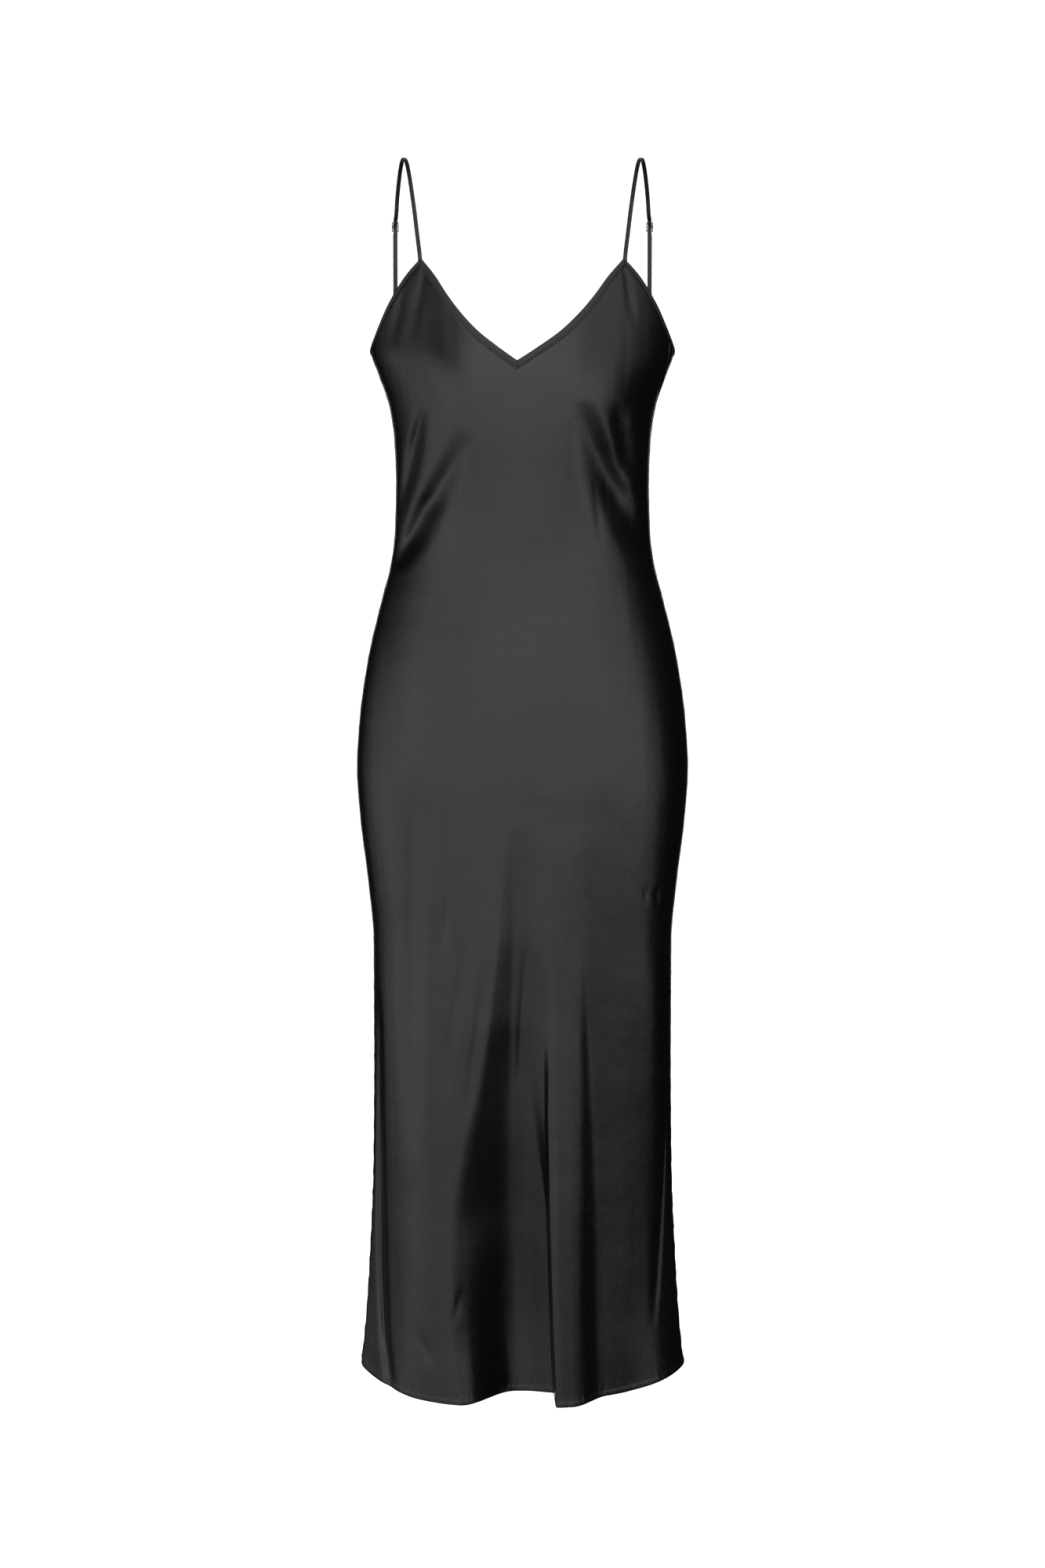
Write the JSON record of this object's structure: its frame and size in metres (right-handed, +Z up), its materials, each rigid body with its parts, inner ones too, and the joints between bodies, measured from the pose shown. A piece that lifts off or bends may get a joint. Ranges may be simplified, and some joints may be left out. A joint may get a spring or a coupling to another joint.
{
  "type": "slip dress",
  "caption": "Midi slip dress in satin, filled out as worn: V neck, low back, bound edges, thin adjustable shoulder straps and a softly folded skirt.",
  "frame": {"origin": "midway between the tops of the two shoulder straps, at the height of their underside, where the wearer's shoulders carry the dress", "axes": "+Z up, -Y out of the dress's front, +X to the right of someone who looks at the front"},
  "size_m": [0.3382, 0.2453, 1.25],
  "materials": {
    "satin": "satin weave, soft sheen",
    "binding": "satin weave, folded and stitched",
    "strap": "satin tube, pressed flat",
    "hardware": "black enamel"
  },
  "bodies": {
    "root": {"front_panel": "satin", "back_panel": "satin", "neck_binding_left": "binding", "neck_binding_right": "binding", "armhole_binding_left": "binding", "armhole_binding_right": "binding", "back_neck_binding": "binding", "strap_left": "strap", "strap_right": "strap", "ring_tab_left": "strap", "ring_tab_right": "strap", "slider_left": "hardware", "slider_right": "hardware", "ring_left": "hardware", "ring_right": "hardware"}
  },
  "joints": []
}
